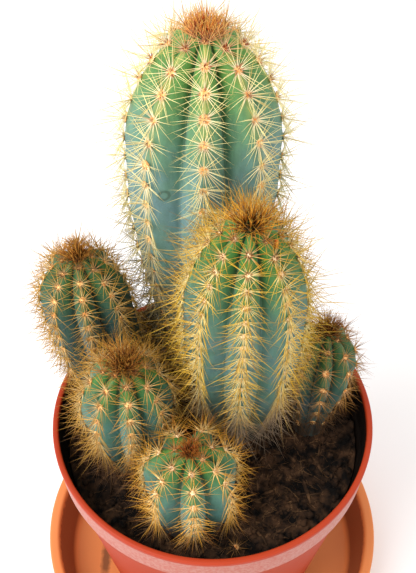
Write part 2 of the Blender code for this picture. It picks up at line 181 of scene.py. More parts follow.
def add_node(tree, word, *inputs, **settings):
    """Add a node, set its properties and feed its inputs. One of its outputs comes back.

    The inputs come in the order of the node's sockets, where None leaves one alone, or as one
    dict by socket name. output names what comes back, where that isn't the first.
    """
    kind, fixed = NODES.get(word, (word, {}))
    if word.isupper():
        kind, fixed = "ShaderNodeMath", {"operation": word}
    settings = {**fixed, **settings}
    output = settings.pop("output", None)
    made = tree.nodes.new(kind)
    for name, value in settings.items():
        setattr(made, name, value)
    sockets = [socket for socket in made.inputs if socket.enabled]
    if inputs and isinstance(inputs[0], dict):
        by_name = {socket.name: socket for socket in sockets}
        pairs = [(by_name[name], value) for name, value in inputs[0].items()]
    else:
        pairs = zip(sockets, inputs)
    for socket, value in pairs:
        feed(socket, value)
    outputs = {socket.name: socket for socket in made.outputs if socket.enabled}
    return outputs[output] if output else next(iter(outputs.values()), None)


print(len(NODES), "words for nodes")

# %% [markdown]
# ## The form of a stem
# A columnar cactus grows from its tip: ribs run down from the apex, and along each rib lie
# the areoles, the cushions that carry the spines. The form could be sculpted, but it obeys a
# rule, so it is written as one: an axis, the radius of a crest at each height, and the
# distance of each areole from the apex, measured along the crest as the plant lays them down.

# %% Stem sizes, in mm
# base and top are the axis at the peat and at the apex, bow its sideways bulge halfway up.
# The stem swells from base_radius to radius over swell, and is rounded off over dome: power 2
# gives an ellipse, less a more pointed top. turn is the angle of one rib from the front.
# first and spacing place the areoles on a rib, and grow is the share by which each step down
# a rib is longer than the one above it.
SOIL_LEVEL = 92 * MM
STEMS = {
    "stem_tall": dict(
        base=(-5, 36), top=(-2.5, 43), bow=(0, 0), height=155, radius=25.7, base_radius=15,
        dome=41, power=1.7, swell=100, ribs=8, turn=0, first=10.4, spacing=7.6, grow=0.010),
    "stem_middle": dict(
        base=(10, 8.5), top=(10.5, -9), bow=(0, 0), height=126, radius=20, base_radius=12.5,
        dome=46, power=1.8, swell=52, ribs=8, turn=-3.5, first=14.6, spacing=6.1, grow=0.012),
    "stem_left": dict(
        base=(-35, 17), top=(-47, 24), bow=(-2.5, 1), height=76, radius=16.0, base_radius=9,
        dome=22, power=2.0, swell=34, ribs=8, turn=9, first=9.0, spacing=5.2, grow=0.02),
    "stem_left_front": dict(
        base=(-30.5, -8.5), top=(-30, -11), bow=(0, 0), height=60, radius=16.2,
        base_radius=9.5, dome=24, power=2.1, swell=34, ribs=8, turn=9, first=6.0, spacing=6.2,
        grow=0.02),
    "stem_front": dict(
        base=(-7.7, -31.5), top=(-7.7, -36), bow=(0, 0), height=47, radius=16.0,
        base_radius=13, dome=19, power=2.0, swell=16, ribs=7, turn=4.5, first=6.4, spacing=6.2,
        grow=0.0),
    "stem_right": dict(
        base=(37, 5), top=(41.5, 14), bow=(0.5, 0), height=47.5, radius=12.4, base_radius=6,
        dome=18, power=2.1, swell=32, ribs=8, turn=-2, first=6.4, spacing=6.6, grow=0.04),
}
VALLEY_TOP, VALLEY_LOW, RIBS_SETTLE = 0.55, 0.76, 70 * MM
RIB_POWER_TOP, RIB_POWER_LOW = 2.1, 1.35
RIBS_FADE = (-2 * MM, 9 * MM)
BURIED = 12 * MM
STAGGER = 0.25
print(len(STEMS), "stems, the tallest", max(s["height"] for s in STEMS.values()), "mm high")

# %% The rule for a stem
def smooth_step(x):
    x = np.clip(x, 0.0, 1.0)
    return x * x * (3.0 - 2.0 * x)


def between(low, high, share):
    return low + (high - low) * share


class Stem:
    """The rule for one stem's form."""

    def __init__(self, name, sizes):
        self.name, self.ribs, self.power = name, sizes["ribs"], sizes["power"]
        self.turn = math.radians(sizes["turn"])
        for key in ("height", "radius", "base_radius", "dome", "swell"):
            setattr(self, key, sizes[key] * MM)
        self.base, top, bow = (np.array(sizes[key]) * MM for key in ("base", "top", "bow"))
        self.slope = (top - self.base + 4 * bow) / self.height
        self.curve = -4 * bow / self.height ** 2
        self.fine = self.height * np.linspace(1, 0, 1500) ** (1 / self.power)
        steps = np.hypot(np.diff(self.fine), np.diff(self.crest(self.fine)))
        self.along = np.concatenate([[0.0], np.cumsum(steps)])
        self.rows = np.arange(-2, 40)
        steps_down = self.rows + sizes["grow"] * self.rows ** 2 / 2
        self.row_arcs = sizes["first"] * MM + sizes["spacing"] * MM * steps_down

    def axis(self, s):
        """The axis at height s above the peat."""
        above = np.maximum(s, 0.0)
        xy = [self.base[i] + self.slope[i] * s + self.curve[i] * above ** 2 for i in (0, 1)]
        return np.stack([xy[0], xy[1], SOIL_LEVEL + s], axis=-1)

    def crest(self, s):
        """The radius of a rib's crest at height s."""
        radius = between(self.base_radius, self.radius, smooth_step(s / self.swell))
        rise = np.clip((s - (self.height - self.dome)) / self.dome, 0.0, 1.0)
        return radius * np.sqrt(np.clip(1.0 - rise ** self.power, 0.0, 1.0))

    def settled(self, s):
        """How far the ribs have their lower form at height s."""
        return smooth_step((self.height - s) / RIBS_SETTLE)

    def valley(self, s):
        """The radius of the valley between two ribs, as a share of the crest's."""
        low, high = RIBS_FADE
        depth = 1.0 - between(VALLEY_TOP, VALLEY_LOW, self.settled(s))
        return 1.0 - depth * smooth_step((s - low) / (high - low))

    def rib_power(self, s):
        """How full the flanks are: pillows at the apex, flat and sharp creased lower down."""
        return between(RIB_POWER_TOP, RIB_POWER_LOW, self.settled(s))

    def height_at(self, arc):
        return np.interp(arc, self.along, self.fine)

    def row_at(self, arc):
        """Which row of areoles lies this far from the apex, as a number with a fraction."""
        return np.interp(arc, self.row_arcs, self.rows)

    def arc_of(self, row):
        return np.interp(row, self.rows, self.row_arcs)


stems = {name: Stem(name, sizes) for name, sizes in STEMS.items()}
for name, stem in stems.items():
    print(f"{name}: crest {stem.along[-1] / MM:.0f} mm long, {stem.ribs} ribs")

# %% [markdown]
# ## Waxy skin
# The skin of this cactus is green, under a powdery wax that turns it blue-grey as it ages.
# New skin at the tip has almost no wax yet, and the furrows between the ribs keep the least
# wax;
# their darker green is partly painted shade in the creases. Towards the base the skin turns
# browner and darker, with corky patches and painted shade. An image could be painted for each
# stem. Instead two attributes that the stem carries, distance from the apex and place across
# the rib, and the height drive the mix.

# %% A new material
def set_surface(material, **values):
    """Set or link inputs of a material's Principled shader."""
    shader = material.node_tree.nodes["Principled BSDF"]
    for label, value in values.items():
        feed(shader.inputs[label.replace("_", " ")], value)


def new_material(name, **values):
    """A material whose Principled shader has these constant values."""
    material = bpy.data.materials.new(name)
    material.use_nodes = True
    set_surface(material, **values)
    return material


def scale_of(size_mm):
    """The scale of a pattern whose patches have this size."""
    return 1 / (size_mm * MM)


print("patches of 8 mm have scale", round(scale_of(8)))

# %% Skin material
def skin(name, young, waxy, furrow_and_shade, crest, crest_share, wax_from, wax_to, cork_and_shade_at,
         scar=None):
    """Cactus epidermis: leathery, satin, with a bloom of wax that thickens with age.

    wax_from, wax_to and cork_and_shade_at are distances from the apex in mm. A healed wound at scar
    leaves a dark ring, 3 mm across, to break up the smooth flank.
    """
    material = new_material(
        "waxy cactus skin, " + name, IOR=1.45, Subsurface_Weight=0.08, Subsurface_Scale=1.0,
        Subsurface_Radius=(1.0 * MM, 1.6 * MM, 0.8 * MM), Sheen_Weight=0.12,
        Sheen_Roughness=0.5)
    add = partial(add_node, material.node_tree)
    place = add("object place")
    arc = add("attribute", attribute_name="from_apex")
    across = add("attribute", attribute_name="across")

    def spots(size_mm, detail, *levels):
        """Noise in patches of this size, eased from one level to another."""
        return add("ease", add("noise", place, scale_of(size_mm), detail), *levels)

    wax = add("MULTIPLY", add("ease", arc, wax_from * MM, wax_to * MM),
              spots(8, 4, 0.35, 0.65, 0.75, 1.0))
    colour = add("mix", wax, young, waxy)
    crest_young = add("MULTIPLY", add("ease", across, 0.4, 0.0),
                      add("ease", arc, 55 * MM, 8 * MM, 0.0, crest_share))
    colour = add("mix", crest_young, colour, crest)
    # Painted shade: the furrows take a darker green than the skin's own, for the shade in the
    # crease between two ribs.
    bare_and_shaded = add("MULTIPLY", add("ease", across, 0.72, 0.95),
               add("ease", arc, wax_to * MM, 8 * MM, 0.1, 1.0))
    colour = add("mix", bare_and_shaded, colour, furrow_and_shade)
    lengthwise = add("vector product", place, (1.0, 1.0, 0.3))
    streak = add("ease", add("noise", lengthwise, scale_of(2.2), 5), 0.3, 0.72, 0.86, 1.12)
    colour = add("tint", 1.0, colour, streak)
    patchy_tint = add("MULTIPLY", spots(3.5, 5, 0.62, 0.7, 0.0, 0.35),
                add("ease", arc, 40 * MM, 90 * MM))
    colour = add("mix", patchy_tint, colour, "#4A4A34")
    # Browner and darker towards the base: corky patches, with painted shade low on the stem.
    cork_and_shade = add("MULTIPLY", add("ease", arc, cork_and_shade_at * MM, (cork_and_shade_at + 50) * MM),
               spots(6, 4, 0.3, 0.6))
    colour = add("mix", cork_and_shade, colour, "#54503A")
    if scar:
        off_ring = add("ABSOLUTE", add("SUBTRACT", add("distance", place, scar), 1.7 * MM))
        ring = add("ease", off_ring, 0.8 * MM, 0.2 * MM, 0.0, 0.5)
        colour = add("mix", ring, colour, "#2A3A1C")
    height = add("split", place, output="Z")
    splash = add("MULTIPLY", add("ease", height, SOIL_LEVEL + 12 * MM, SOIL_LEVEL + 1 * MM),
                 spots(3, 4, 0.25, 0.55, 0.4, 1.0))
    colour = add("mix", splash, colour, "#33261A")
    colour = add("tint", 1.0, colour, spots(0.5, 2, 0.3, 0.7, 0.95, 1.05))
    pores = add("noise", place, scale_of(0.35), 2)
    set_surface(material, Base_Color=colour, Roughness=spots(4, 2, 0.3, 0.7, 0.42, 0.6),
                Normal=add("bump", {"Strength": 0.25, "Distance": 0.05 * MM, "Height": pores}))
    return material


blue_skin = skin("blue", "#588A3C", "#668A8C", "#1F5212", "#B4B25A", 0.6, 12, 62, 84,
                 scar=(-15.8 * MM, 21.7 * MM, 199.3 * MM))
teal_skin = skin("teal", "#397428", "#4E7672", "#15400C", "#7E9A3C", 0.4, 14, 54, 100)
sea_skin = skin("sea green", "#346C26", "#4E7E78", "#123A10", "#6C8A34", 0.4, 8, 34, 60)
deep_skin = skin("deep", "#2F5C28", "#3A5A5D", "#122A18", "#6E7C38", 0.4, 8, 38, 50)
SKIN_OF = {"stem_tall": blue_skin, "stem_middle": teal_skin, "stem_left": deep_skin,
           "stem_left_front": sea_skin, "stem_front": sea_skin, "stem_right": deep_skin}
print(len(set(SKIN_OF.values())), "skins")

# %% [markdown]
# ## What all trees share
# Each tree in this lesson has named inputs for its sizes, a source mesh to start from and a
# material, and ends in real meshes, because an export drops instances. Running one takes the
# same few steps each time: set its inputs, take the result as a plain mesh, and let go of
# what no material reads.

# %% A new tree, and its end
def new_tree(name, **kinds):
    """A Geometry Nodes tree with these named inputs, and a source and a material.

    The tree comes back with its own adding function and with what its inputs give.
    """
    tree = bpy.data.node_groups.new(name, "GeometryNodeTree")
    tree.interface.new_socket("Geometry", in_out="OUTPUT", socket_type="NodeSocketGeometry")
    for label, kind in {"source": "Geometry", **kinds, "material": "Material"}.items():
        tree.interface.new_socket(label, in_out="INPUT", socket_type="NodeSocket" + kind)
    outputs = tree.nodes.new("NodeGroupInput").outputs
    given = SimpleNamespace(**{socket.name: socket for socket in outputs if socket.name})
    return tree, partial(add_node, tree), given


def end_tree(tree, add, given, geometry, smooth=True):
    """End a tree in real meshes with their material."""
    geometry = add("realize", geometry)
    if smooth:
        geometry = add("GeometryNodeSetShadeSmooth", geometry)
    geometry = add("GeometryNodeSetMaterial",
                   {"Geometry": geometry, "Material": given.material})
    add("NodeGroupOutput", geometry)
    print(f"{tree.name}: {len(tree.nodes)} nodes")
    return tree


def roughened(add, geometry, size_mm, amount):
    """A surface pushed in and out by noise."""
    lump = add("SUBTRACT", add("noise", add("position"), scale_of(size_mm), 2), 0.5)
    push = add("scaled", add("normal"), add("MULTIPLY", lump, amount))
    return add("set position", {"Geometry": geometry, "Offset": push})


def rolled(add, pose, angle):
    """A rotation with a turn about its own Z before it."""
    roll = add("FunctionNodeAxisAngleToRotation", (0.0, 0.0, 1.0), angle)
    return add("FunctionNodeRotateRotation", pose, roll, rotation_space="LOCAL")

# %% Growing a piece from a tree
def grow(name, tree, source, keep=(), **inputs):
    """Run a tree on a source mesh and return the result as a plain mesh object.

    Of its attributes only those in keep stay, for the material to read.
    """
    obj = add_object(name, source)
    modifier = obj.modifiers.new("Grow", "NODES")
    modifier.node_group = tree
    for item in tree.interface.items_tree:
        if item.in_out == "INPUT" and item.name in inputs:
            is_float = item.socket_type == "NodeSocketFloat"
            value = inputs[item.name]
            modifier[item.identifier] = float(value) if is_float else value
    mesh = applied(obj, preserve_all_data_layers=True)
    obj.modifiers.clear()
    obj.data = mesh
    mesh.name = name
    mesh.polygons.foreach_set("material_index", [0] * len(mesh.polygons))
    mesh.materials.clear()
    mesh.materials.append(inputs["material"])
    for label in [attribute.name for attribute in mesh.attributes]:
        attribute = mesh.attributes[label]
        if not (label in keep or attribute.is_internal or attribute.is_required):
            mesh.attributes.remove(attribute)
    print(f"{name}: {triangles(obj)} triangles")
    return obj

# %% [markdown]
# ## The ribbed body
# The body follows a rule all the way, so a Geometry Nodes tree makes it. Its input is a chain
# of points up the axis, each with its own radius. The tree starts from a plain cylinder with
# one ring of vertices for each point, and moves every vertex out by the rib formula. A
# cylinder is already closed, so there is no seam to weld. A swelling under each areole gives
# the crest its slightly knobbly line, and a little noise keeps the stem from looking turned.

# %% Tree: ribbed body
def ribbed_body_tree():
    tree, add, given = new_tree("Ribbed body", ribs="Int", columns="Int", turn="Float",
                                swelling="Float", unevenness="Float")
    last_row = add("SUBTRACT", add("GeometryNodeAttributeDomainSize", given.source), 1)
    tube = add("GeometryNodeMeshCylinder", given.columns, last_row, 1, 1.0, 1.0,
               fill_type="TRIANGLE_FAN")
    start = add("position")
    x, y, z = add("split", start).node.outputs
    row = add("ROUND", add("MULTIPLY", add("ADD", z, 0.5), last_row))
    bearing = add("ARCTAN2", x, add("MULTIPLY", y, -1))
    bearing = add("FLOORED_MODULO", bearing, math.tau)
    half_pitch = add("DIVIDE", math.pi, given.ribs)
    across = add("DIVIDE", add("PINGPONG", bearing, half_pitch), half_pitch)
    rib = add("ROUND", add("DIVIDE", bearing, add("MULTIPLY", half_pitch, 2)))
    rib = add("FLOORED_MODULO", rib, given.ribs)

    crest, valley, rib_power, arc, areole_row, swells = (
        add("sampled number", given.source, add("named number", name), row)
        for name in ("crest", "valley", "rib_power", "arc", "areole_row", "swells"))
    rise = add("SUBTRACT", 1, add("POWER", across, rib_power))
    share = add("ADD", valley, add("MULTIPLY", add("SUBTRACT", 1, valley), rise))
    radius = add("MULTIPLY", crest, share)

    odd = add("FLOORED_MODULO", rib, 2)
    stagger = add("SUBTRACT", STAGGER, add("MULTIPLY", odd, 2 * STAGGER))
    wave = add("COSINE", add("MULTIPLY", add("SUBTRACT", areole_row, stagger), math.tau))
    near_areole = add("POWER", add("MULTIPLY_ADD", wave, 0.5, 0.5), 1.6)
    near_crest = add("POWER", add("SUBTRACT", 1, across), 2.5)
    swelling = add("MULTIPLY", add("MULTIPLY", near_areole, near_crest),
                   add("MULTIPLY", given.swelling, swells))
    from_middle = add("SQRT", add("ADD", add("MULTIPLY", x, x), add("MULTIPLY", y, y)))
    radius = add("MULTIPLY", add("ADD", radius, swelling), from_middle)

    angle = add("ADD", bearing, given.turn)
    offset = add("join", add("MULTIPLY", add("SINE", angle), radius),
                 add("MULTIPLY", add("COSINE", angle), add("MULTIPLY", radius, -1)), 0.0)
    place = add("vector sum", add("sampled vector", given.source, start, row), offset)
    body = tube
    for name, value in (("from_apex", arc), ("across", across)):
        body = add("store", {"Geometry": body, "Name": name, "Value": value})
    body = add("set position", {"Geometry": body, "Position": place})
    return end_tree(tree, add, given, roughened(add, body, 14, given.unevenness))


ribbed_body = ribbed_body_tree()

# %% Stem bodies
ROW_STEP = 1.0 * MM
FIRST_RING = 0.5 * MM
UNEVENNESS = 0.6 * MM
COLUMNS_PER_RIB = {**dict.fromkeys(stems, 16), "stem_tall": 20, "stem_middle": 20}
SWELLING = {**dict.fromkeys(stems, 0.4 * MM), "stem_middle": 0.3 * MM,
            "stem_front": 0.8 * MM}


def chain(name, points, **attributes):
    """A mesh of loose points with these attributes, as a tree's source."""
    mesh = bpy.data.meshes.new(name)
    mesh.vertices.add(len(points))
    mesh.vertices.foreach_set("co", np.asarray(points, dtype=np.float32).ravel())
    for label, values in attributes.items():
        values = np.asarray(values, dtype=np.float32)
        kind, field = ("FLOAT_VECTOR", "vector") if values.ndim == 2 else ("FLOAT", "value")
        mesh.attributes.new(label, kind, "POINT").data.foreach_set(field, values.ravel())
    return mesh


def body_chain(stem):
    """Points up the axis, from the buried foot to the apex."""
    arcs = np.append(np.arange(stem.along[-1], FIRST_RING, -ROW_STEP), FIRST_RING)
    s = np.concatenate([[-BURIED, -BURIED / 2], stem.height_at(arcs)])
    arcs = np.concatenate([[arcs[0] + BURIED, arcs[0] + BURIED / 2], arcs])
    rows = stem.row_at(arcs)
    swells = smooth_step(rows + 1.0) * smooth_step(s / (10 * MM))
    return chain(stem.name + "_axis", stem.axis(s), crest=stem.crest(s),
                 valley=stem.valley(s), rib_power=stem.rib_power(s), arc=arcs,
                 areole_row=rows, swells=swells)


bodies = {}
for name, stem in stems.items():
    bodies[name] = grow(
        name + "_body", ribbed_body, body_chain(stem), keep=("from_apex", "across"),
        ribs=stem.ribs, columns=stem.ribs * COLUMNS_PER_RIB[name], turn=stem.turn,
        swelling=SWELLING[name], unevenness=UNEVENNESS, material=SKIN_OF[name])

# %% [markdown]
# ## Areoles
# Each areole sits on a crest. For its spines to stand right it needs three directions: out
# of the skin, up the rib, and across it. The areoles of neighbouring ribs lie half a step
# apart, and the newest ones crowd round the apex, so they are laid out from the tip down.

# %% Areole places and directions
rng = np.random.default_rng(7)
FIRST_AREOLE = 3.6 * MM
LOWEST_AREOLE = 3 * MM
UNEVEN_STEP = 0.3 * MM
ON_SWELLING = 0.8


def side_of(angle):
    """The level direction at this angle from the front."""
    return np.array([math.sin(angle), -math.cos(angle), 0.0])


def unit(vector):
    return vector / np.linalg.norm(vector)


def crest_frame(stem, s, angle):
    """Place, out and up on a crest at height s and this angle from the front."""
    heights = np.array([s - 0.5 * MM, s, s + 0.5 * MM])
    line = stem.axis(heights) + side_of(angle) * stem.crest(heights)[:, None]
    up = unit(line[2] - line[0])
    across = np.array([math.cos(angle), math.sin(angle), 0.0])
    return line[1], unit(np.cross(across, up)), up


def areoles_of(stem):
    """Rows of (place, out, up, distance from the apex), one for each areole.

    A step along the rib is uneven by up to UNEVEN_STEP, and the areole stands out by the
    share ON_SWELLING of the swelling under it.
    """
    found = []
    for rib in range(stem.ribs):
        stagger = STAGGER if rib % 2 == 0 else -STAGGER
        angle = stem.turn + math.tau * rib / stem.ribs
        for row in range(-1, 40):
            arc = float(stem.arc_of(row + stagger)) + rng.uniform(-1, 1) * UNEVEN_STEP
            if arc < FIRST_AREOLE:
                continue
            s = float(stem.height_at(arc))
            if s < LOWEST_AREOLE:
                break
            place, out, up = crest_frame(stem, s, angle)
            on_skin = place + out * SWELLING[stem.name] * ON_SWELLING
            found.append((on_skin, out, up, arc))
    return found


areoles = {}
for name, stem in stems.items():
    areoles[name] = areoles_of(stem)
    print(f"{name}: {len(areoles[name])} areoles")

# %% [markdown]
# ## Spines
# A spine is a hardened needle of horn: straight, round, and drawn out to a point. Modelled
# by hand there would be thousands. The tree below takes the areoles as points, copies each
# point once for each spine, leans the copy away from the areole's outward direction, and puts
# a three-sided needle there. A ray cast along each spine shortens it where it would run into
# a stem, the peat or the pot, because no real spine grows through its neighbour.

# %% Tree: spines
def spine_tree():
    sizes = ("length", "shortest", "lean_from", "lean_to", "stand_up", "foot_ring",
             "thickness", "bend", "darkest", "palest")
    tree, add, given = new_tree("Spines", obstacles="Object", count="Int", seed="Int",
                                **dict.fromkeys(sizes, "Float"))

    def draw(low, high, salt):
        """A random number for each spine, unlike that of any other salt."""
        return add("random", {"Min": low, "Max": high, "Seed": add("ADD", given.seed, salt)})

    copies = add("GeometryNodeDuplicateElements",
                 {"Geometry": given.source, "Amount": given.count}, domain="POINT")
    number = copies.node.outputs["Duplicate Index"]
    turn = add("DIVIDE", add("ADD", number, draw(-0.45, 0.45, 1)), given.count)
    copies = add("store", {"Geometry": copies, "Name": "turn", "Value": turn})
    out, up = add("named vector", "out"), add("named vector", "up")
    across = add("cross product", up, out)
    turn = add("ADD", add("named number", "turn"), add("named number", "spin"))
    turn = add("MULTIPLY", turn, math.tau)
    lean = add("RADIANS", draw(given.lean_from, given.lean_to, 2))
    along_rib = add("POWER", add("ABSOLUTE", add("COSINE", turn)), 3.0)
    stands = add("SUBTRACT", 1.0, add("MULTIPLY", along_rib, given.stand_up))
    lean = add("MULTIPLY", add("MULTIPLY", lean, add("named number", "spread")), stands)
    flat = add("vector sum", add("scaled", up, add("COSINE", turn)),
               add("scaled", across, add("SINE", turn)))
    aim = add("vector sum", add("scaled", out, add("COSINE", lean)),
              add("scaled", flat, add("SINE", lean)))
    droop = add("scaled", up, add("named number", "droop"))
    aim = add("unit vector", add("vector difference", aim, droop))
    size = add("named number", "size")
    wanted = add("MULTIPLY", given.length, size)
    length = add("MULTIPLY", wanted, draw(given.shortest, 1.0, 3))

    foot = add("MULTIPLY", add("DIVIDE", lean, math.pi / 2),
               add("MULTIPLY", given.foot_ring, size))
    copies = add("set position", {"Geometry": copies, "Offset": add("scaled", flat, foot)})
    clear_of_pad = add("vector sum", add("position"), add("scaled", out, 0.4 * MM))
    target = add("GeometryNodeObjectInfo", given.obstacles, transform_space="RELATIVE",
                 output="Geometry")
    met = add("GeometryNodeRaycast", {
        "Target Geometry": target, "Source Position": clear_of_pad, "Ray Direction": aim,
        "Ray Length": length}, output="Is Hit")
    free = add("MULTIPLY", met.node.outputs["Hit Distance"], 0.93)
    length = add("SUBTRACT", length, add("MULTIPLY", met, add("SUBTRACT", length, free)))
    grown = add("FunctionNodeCompare", length, add("MULTIPLY", wanted, 0.25),
                operation="GREATER_THAN")

    needle = add("GeometryNodeMeshCone", 3, 3, 1, 0.0, 1.0, 1.0, fill_type="TRIANGLE_FAN")
    x, y, z = add("split", add("position")).node.outputs
    height = add("MULTIPLY", z, add("MULTIPLY_ADD", z, 1.05, -0.05))
    needle = add("store", {"Geometry": needle, "Name": "along", "Value": height})
    fuller = add("ADD", add("MULTIPLY_ADD", z, 1.8, 1.0),
                 add("MULTIPLY", add("LESS_THAN", z, 0.1), 1.4))
    aside = add("MULTIPLY", add("MULTIPLY", height, height), given.bend)
    shape = add("join", add("MULTIPLY_ADD", x, fuller, aside), add("MULTIPLY", y, fuller),
                height)
    needle = add("set position", {"Geometry": needle, "Position": shape})

    pose = rolled(add, add("aimed", {"Vector": aim}), draw(0.0, math.tau, 4))
    thick = add("MULTIPLY", given.thickness, draw(0.75, 1.15, 5))
    spines = add("instances", {
        "Points": copies, "Selection": grown, "Instance": needle, "Rotation": pose,
        "Scale": add("join", thick, thick, length)})
    spines = add("store", {"Geometry": spines, "Name": "tone",
                           "Value": draw(given.darkest, given.palest, 6)}, domain="INSTANCE")
    return end_tree(tree, add, given, spines)


spine_maker = spine_tree()

# %% [markdown]
# ### The colour of a spine
# A spine is translucent horn: red-brown where it leaves a young areole, then pale, golden
# along its shaft and browner at its tip. The youngest, in the tuft on the apex, are still
# dark. Low on a stem, near the peat, spines weather to a dull tan and are painted darker still,
# as painted shade in the gaps between the stems. Attributes say how far along a spine a point
# is, how young and fresh it is, how low it stands, and give each spine a tone of its own. The
# stems differ, so the same recipe is mixed for each kind, from pale straw to dark bronze.

# %% Spine material
SPINE_ATTRIBUTES = ("along", "tone", "young", "fresh", "old")


def horn(name, foot, foot_share, root, shaft, tip, young_root, young_shaft, young_tip,
         dark_to, weathered_and_shaded):
    """Horn: satin needles, so thin that most of their gloss is lost."""
    material = new_material("horn spines, " + name, IOR=1.54, Specular_IOR_Level=0.15)
    add = partial(add_node, material.node_tree)
    along, tone, young, fresh, old = (add("attribute", attribute_name=label)
                                      for label in SPINE_ATTRIBUTES)
    shaft_now = add("mix", add("ease", tone, 0.0, 0.45), tip, shaft)
    colour = add("mix", add("ease", along, 0.08, 0.42), root, shaft_now)
    colour = add("mix", add("ease", along, 0.6, 1.0), colour, tip)
    at_foot = add("MULTIPLY", add("ease", along, 0.18, 0.08, 0.0, foot_share), fresh)
    at_foot = add("MULTIPLY", at_foot, add("ease", tone, 0.5, 0.35))
    colour = add("mix", at_foot, colour, foot)
    # Low spines take a dull tan and are painted darker, as painted shade in the gaps between
    # the stems.
    colour = add("mix", old, colour, weathered_and_shaded)
    newest = add("mix", add("ease", young, 0.6, 1.0), foot, young_root)
    newest = add("mix", add("ease", along, 0.1, dark_to), newest, young_shaft)
    newest = add("mix", add("ease", along, 0.5, 1.0), newest, young_tip)
    colour = add("mix", young, colour, newest)
    colour = add("tint", 1.0, colour, add("ease", tone, 0.0, 1.0, 0.76, 1.16))
    set_surface(material, Base_Color=colour)
    return material


straw_horn = horn("straw", "#B04A06", 1.0, "#FFF2C8", "#FBEAA4", "#F0C868",
                  "#701C00", "#C24C00", "#FFCC5C", 0.6, "#857650")
golden_horn = horn("golden", "#98480A", 0.75, "#F6E2A0", "#DEB038", "#B07C18",
                   "#1C0804", "#B4680C", "#FFC64A", 0.7, "#A68E76")
copper_horn = horn("copper", "#8A4210", 0.6, "#F6D28C", "#DA9E38", "#A8641E",
                   "#2A0C06", "#923C0E", "#C07A2C", 0.6, "#7E6042")
amber_horn = horn("amber", "#7A3A16", 0.5, "#E4C488", "#CA983E", "#A46C28",
                  "#120302", "#8E4408", "#E8A844", 0.9, "#6A4C34")
bronze_horn = horn("bronze", "#6A3A1C", 0.4, "#D0A068", "#AC7832", "#7E501E",
                   "#1A0804", "#8C4C14", "#D09038", 0.7, "#5C4430")
HORN_OF = {"stem_tall": straw_horn, "stem_left": amber_horn, "stem_left_front": amber_horn,
           "stem_right": bronze_horn, "stem_middle": golden_horn, "stem_front": copper_horn}
print(len(set(HORN_OF.values())), "kinds of horn")

# %% Obstacles for the spines
PROUD = 0.025
WALL_HALF, WALL_TOP = 0.2, 0.4


def joined(name, objects):
    """A copy of several meshes as one, for the rays to hit.

    Two walls, in front and behind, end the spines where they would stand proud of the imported
    model's box by more than the share PROUD.
    """
    bm = bmesh.new()
    for obj in objects:
        bm.from_mesh(obj.data)
    depth = cad_high[1] - cad_low[1]
    for y in (cad_low[1] - PROUD * depth, cad_high[1] + PROUD * depth):
        bm.faces.new([bm.verts.new((x, y, z)) for x, z in (
            (-WALL_HALF, 0), (WALL_HALF, 0), (WALL_HALF, WALL_TOP), (-WALL_HALF, WALL_TOP))])
    return add_object(name, mesh_from(bm, name))


cad_ground = [frame["nodes"][name] for name in ("soil", "pot")]
obstacles = joined("obstacles", list(bodies.values()) + cad_ground)
print("obstacles:", triangles(obstacles), "triangles")

# %% [markdown]
# ### Layers of spines
# An areole grows two kinds. Radial spines lie low and spread like a star over the skin, and
# central spines stand out. Both droop on the older part of the stem. Each kind is one run of
# the tree, and the runs are joined to one piece for each stem. The apex has a third layer,
# the tuft: a bunch of young areoles so close together that their spines form a brush.

# %% Spine layers
# count, length in mm, shortest share, lean from and to in degrees, thickness in mm from the
# middle of the shaft to its edge, and foot_ring, tuft_size, droop_at and aged_and_shaded_below
# in mm: how far from the middle of the areole the lowest spines stand, the tuft's radius, how
# far from the apex the spines have most of their droop, and the height above the peat under
# which they turn tan and darker, partly weathering and partly painted shade. tuft_flare is how
# far the tuft's outer spines lean out.
LAYERS = {
    "stem_tall": dict(
        radial=(22, 12.5, 0.65, 60, 88, 0.13), central=(8, 18.5, 0.5, 6, 70, 0.135),
        tuft=(13, 8.3, 0.45, 0, 26, 0.19), foot_ring=1.3, tuft_size=5.2, tuft_flare=0.6,
        droop_at=60, aged_and_shaded_below=130),
    "stem_middle": dict(
        radial=(17, 11.5, 0.6, 56, 88, 0.125), central=(9, 18.0, 0.5, 10, 74, 0.13),
        tuft=(9, 13.0, 0.4, 0, 54, 0.15), foot_ring=1.3, tuft_size=4.0, tuft_flare=0.9,
        droop_at=42, aged_and_shaded_below=64),
    "stem_left": dict(
        radial=(17, 10.5, 0.55, 50, 88, 0.12), central=(8, 12.5, 0.5, 12, 66, 0.125),
        tuft=(12, 10.0, 0.45, 0, 44, 0.14), foot_ring=1.2, tuft_size=2.8, tuft_flare=0.7,
        droop_at=30, aged_and_shaded_below=36),
    "stem_left_front": dict(
        radial=(17, 11.5, 0.55, 50, 88, 0.12), central=(9, 15.0, 0.5, 12, 70, 0.125),
        tuft=(12, 14.5, 0.35, 0, 54, 0.14), foot_ring=1.2, tuft_size=3.0, tuft_flare=0.8,
        droop_at=20, aged_and_shaded_below=36),
    "stem_front": dict(
        radial=(16, 10.5, 0.6, 55, 88, 0.12), central=(7, 12.5, 0.5, 12, 66, 0.13),
        tuft=(9, 5.5, 0.5, 0, 50, 0.13), foot_ring=1.3, tuft_size=2.6, tuft_flare=0.9,
        droop_at=26, aged_and_shaded_below=22),
    "stem_right": dict(
        radial=(18, 9.0, 0.5, 50, 88, 0.105), central=(7, 10.5, 0.45, 12, 60, 0.115),
        tuft=(8, 9.0, 0.5, 0, 46, 0.13), foot_ring=1.2, tuft_size=2.8, tuft_flare=0.9,
        droop_at=20, aged_and_shaded_below=28),
}
# The radial spines are the paler ones, the central spines the more golden.
TONES = {"radial": (0.3, 1.0), "central": (0.0, 0.5), "tuft": (0.0, 1.0)}
TUFT_AREOLES = 26
GOLDEN_TURN = math.pi * (3 - math.sqrt(5))
BEND, STAND_UP = 4.0, 0.12
for name, layers in LAYERS.items():
    print(f"{name}: {layers['radial'][0] + layers['central'][0]} spines on an areole")

